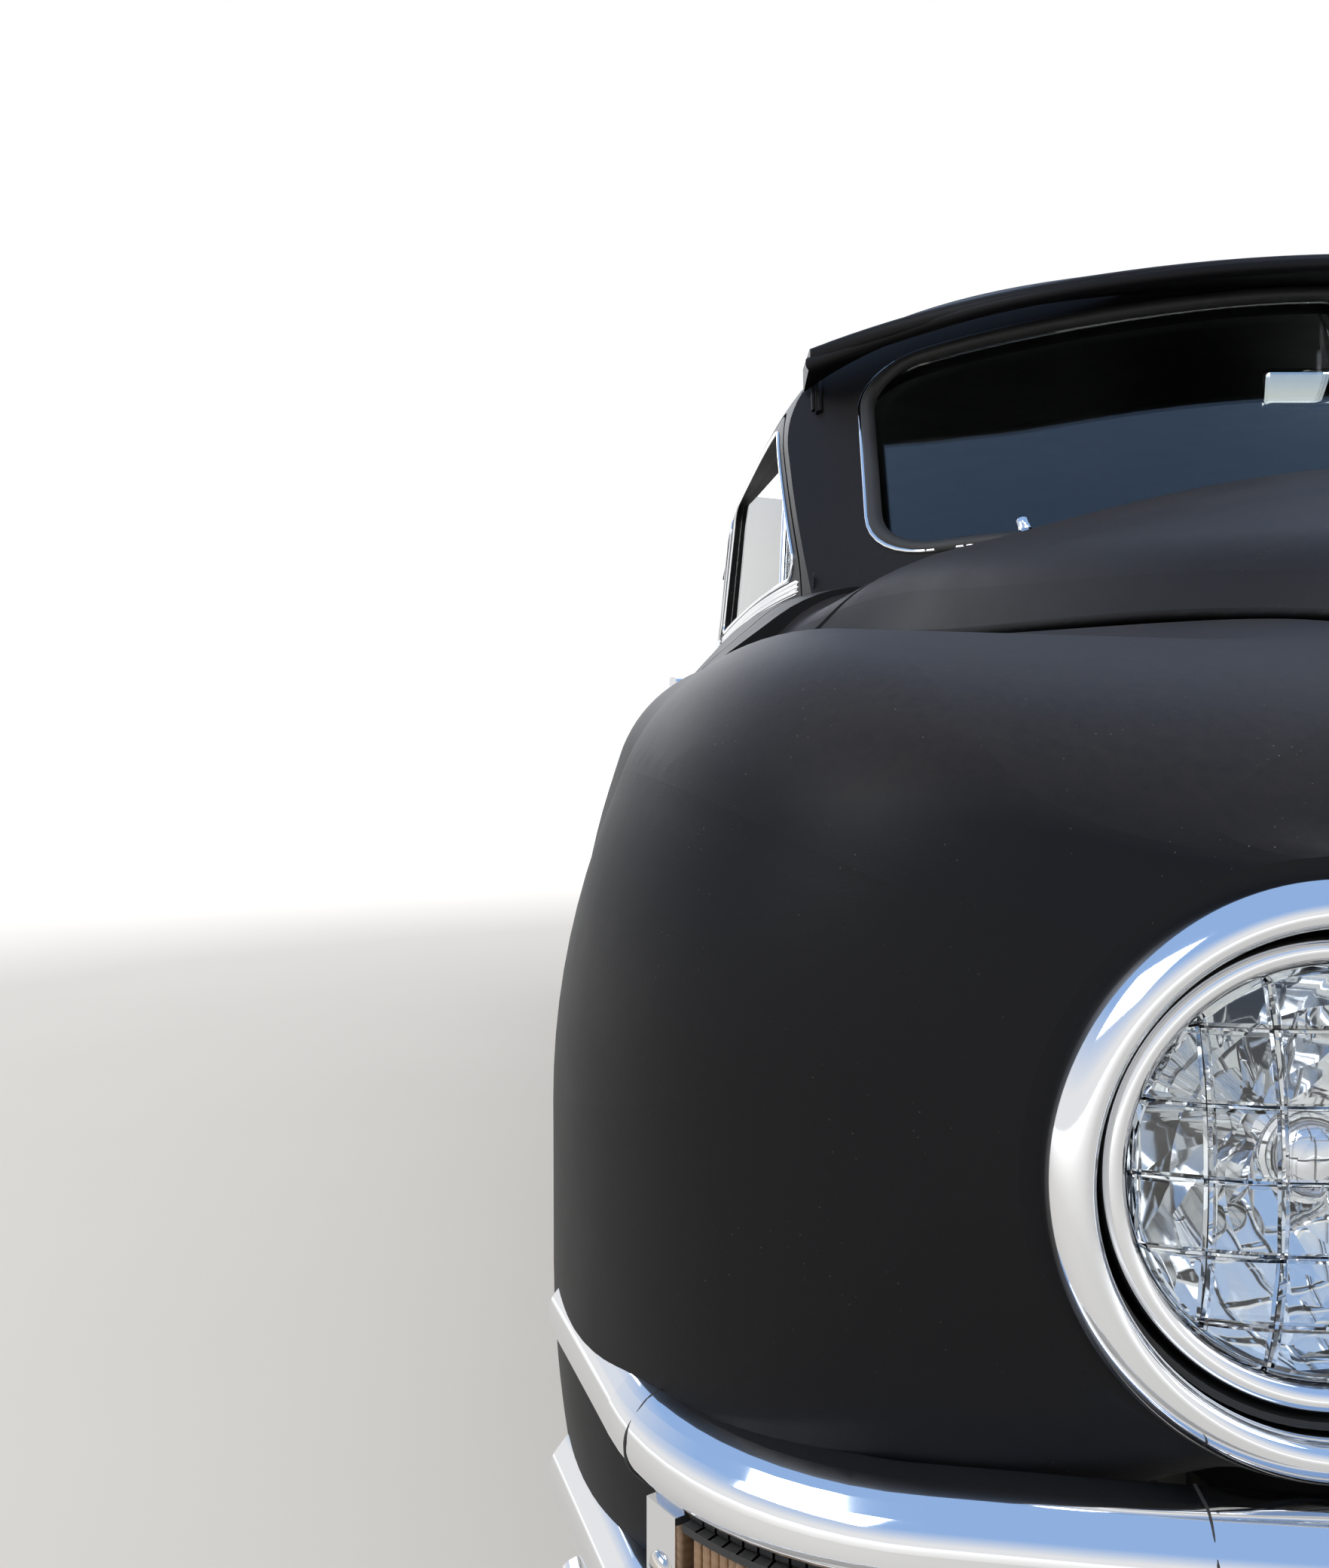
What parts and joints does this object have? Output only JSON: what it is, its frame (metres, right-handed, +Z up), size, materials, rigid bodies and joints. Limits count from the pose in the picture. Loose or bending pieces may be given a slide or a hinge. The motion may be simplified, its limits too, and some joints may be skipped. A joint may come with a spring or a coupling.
{
  "type": "two-door fastback sedan of about 1950",
  "caption": "Full-size satin black fastback sedan with round fenders, chrome grille bars, an outside sun visor, opening doors, hood and trunk, and wheels that steer and roll.",
  "frame": {"origin": "on the ground under the middle of the car's overall box", "axes": "+X is the car's left side, the car faces -Y, +Z up"},
  "size_m": [1.9822, 5.108, 1.622],
  "materials": {
    "body_paint": "satin black paint with a little dust",
    "chrome": "polished plating",
    "reflector": "silvered reflector in a black bowl",
    "lamp_glass": "pressed clear glass",
    "amber_lens": "fluted amber glass",
    "red_lens": "ribbed red glass",
    "glass": "clear flat and curved glass",
    "underbody": "black undercoat",
    "chassis_paint": "semi-gloss black chassis paint",
    "cast_iron": "cast iron",
    "pipe_steel": "dull exhaust steel",
    "dash_paint": "satin dark paint",
    "seat_cloth": "grey-brown woven cloth",
    "hard_rubber": "black moulded rim",
    "wheel_paint": "black steel disc with a plated cap",
    "tyre": "black bias-ply tyre"
  },
  "bodies": {
    "body": {"body_shell": "body_paint", "cowl": "body_paint", "floor_pan": "underbody", "front_fender_left": "body_paint", "front_fender_right": "body_paint", "grille_bars": "chrome", "grille_panel": "body_paint", "parking_lamps": "amber_lens", "headlamp_rings": "chrome", "headlamp_bowls": "reflector", "headlamp_lenses": "lamp_glass", "front_bumper": "chrome", "rear_bumper": "chrome", "tail_lamps": "red_lens", "windshield": "glass", "windshield_divider": "chrome", "rear_glass": "glass", "sun_visor": "body_paint", "chassis_frame": "chassis_paint", "engine_block": "cast_iron", "radiator": "chassis_paint", "front_suspension": "chassis_paint", "rear_axle": "chassis_paint", "driveline": "chassis_paint", "exhaust": "pipe_steel", "fuel_tank": "chassis_paint", "dashboard": "dash_paint", "steering_column": "dash_paint", "front_seat": "seat_cloth", "rear_seat": "seat_cloth"},
    "hood": {"hood": "body_paint"},
    "trunk_lid": {"trunk_lid": "body_paint"},
    "steering_wheel": {"steering_wheel": "hard_rubber"},
    "door_left": {"door_left": "body_paint", "door_glass_left": "glass", "door_handle_left": "chrome"},
    "door_right": {"door_right": "body_paint", "door_glass_right": "glass", "door_handle_right": "chrome"},
    "knuckle_left": {"knuckle_left": "chassis_paint"},
    "knuckle_right": {"knuckle_right": "chassis_paint"},
    "wheel_front_left": {"wheel_front_left": "wheel_paint", "tyre_front_left": "tyre"},
    "wheel_front_right": {"wheel_front_right": "wheel_paint", "tyre_front_right": "tyre"},
    "wheel_rear_left": {"wheel_rear_left": "wheel_paint", "tyre_rear_left": "tyre"},
    "wheel_rear_right": {"wheel_rear_right": "wheel_paint", "tyre_rear_right": "tyre"}
  },
  "joints": [
    {"name": "door_left_hinge", "type": "hinge", "parent": "body", "child": "door_left", "pos_m": [0.972, -1.136, 0.64], "axis": [0.0872, 0, -0.9962], "range_deg": [0, 60]},
    {"name": "door_right_hinge", "type": "hinge", "parent": "body", "child": "door_right", "pos_m": [-0.972, -1.136, 0.64], "axis": [0.0872, 0, 0.9962], "range_deg": [0, 60]},
    {"name": "hood_hinge", "type": "hinge", "parent": "body", "child": "hood", "pos_m": [0, -2.44, 0.728], "axis": [1, 0, 0], "range_deg": [0, 50]},
    {"name": "trunk_lid_hinge", "type": "hinge", "parent": "body", "child": "trunk_lid", "pos_m": [0, 1.508, 1.322], "axis": [1, 0, 0], "range_deg": [0, 55]},
    {"name": "steering_left", "type": "hinge", "parent": "body", "child": "knuckle_left", "pos_m": [0.64, -1.69, 0.355], "axis": [0, 0, 1], "range_deg": [-30, 30]},
    {"name": "steering_right", "type": "hinge", "parent": "body", "child": "knuckle_right", "pos_m": [-0.64, -1.69, 0.355], "axis": [0, 0, 1], "range_deg": [-30, 30]},
    {"name": "steering_wheel_turn", "type": "hinge", "parent": "body", "child": "steering_wheel", "pos_m": [0.37, -0.79, 0.985], "axis": [0, 0.8793, 0.4763], "range_deg": [-450, 450]},
    {"name": "spin_front_left", "type": "hinge", "parent": "knuckle_left", "child": "wheel_front_left", "pos_m": [0.745, -1.69, 0.355], "axis": [1, 0, 0], "continuous": true},
    {"name": "spin_front_right", "type": "hinge", "parent": "knuckle_right", "child": "wheel_front_right", "pos_m": [-0.745, -1.69, 0.355], "axis": [1, 0, 0], "continuous": true},
    {"name": "spin_rear_left", "type": "hinge", "parent": "body", "child": "wheel_rear_left", "pos_m": [0.745, 1.3, 0.355], "axis": [1, 0, 0], "continuous": true},
    {"name": "spin_rear_right", "type": "hinge", "parent": "body", "child": "wheel_rear_right", "pos_m": [-0.745, 1.3, 0.355], "axis": [1, 0, 0], "continuous": true}
  ],
  "couplings": [
    {"joint": "steering_right", "follows": "steering_left", "ratio": 1},
    {"joint": "steering_wheel_turn", "follows": "steering_left", "ratio": 15}
  ]
}
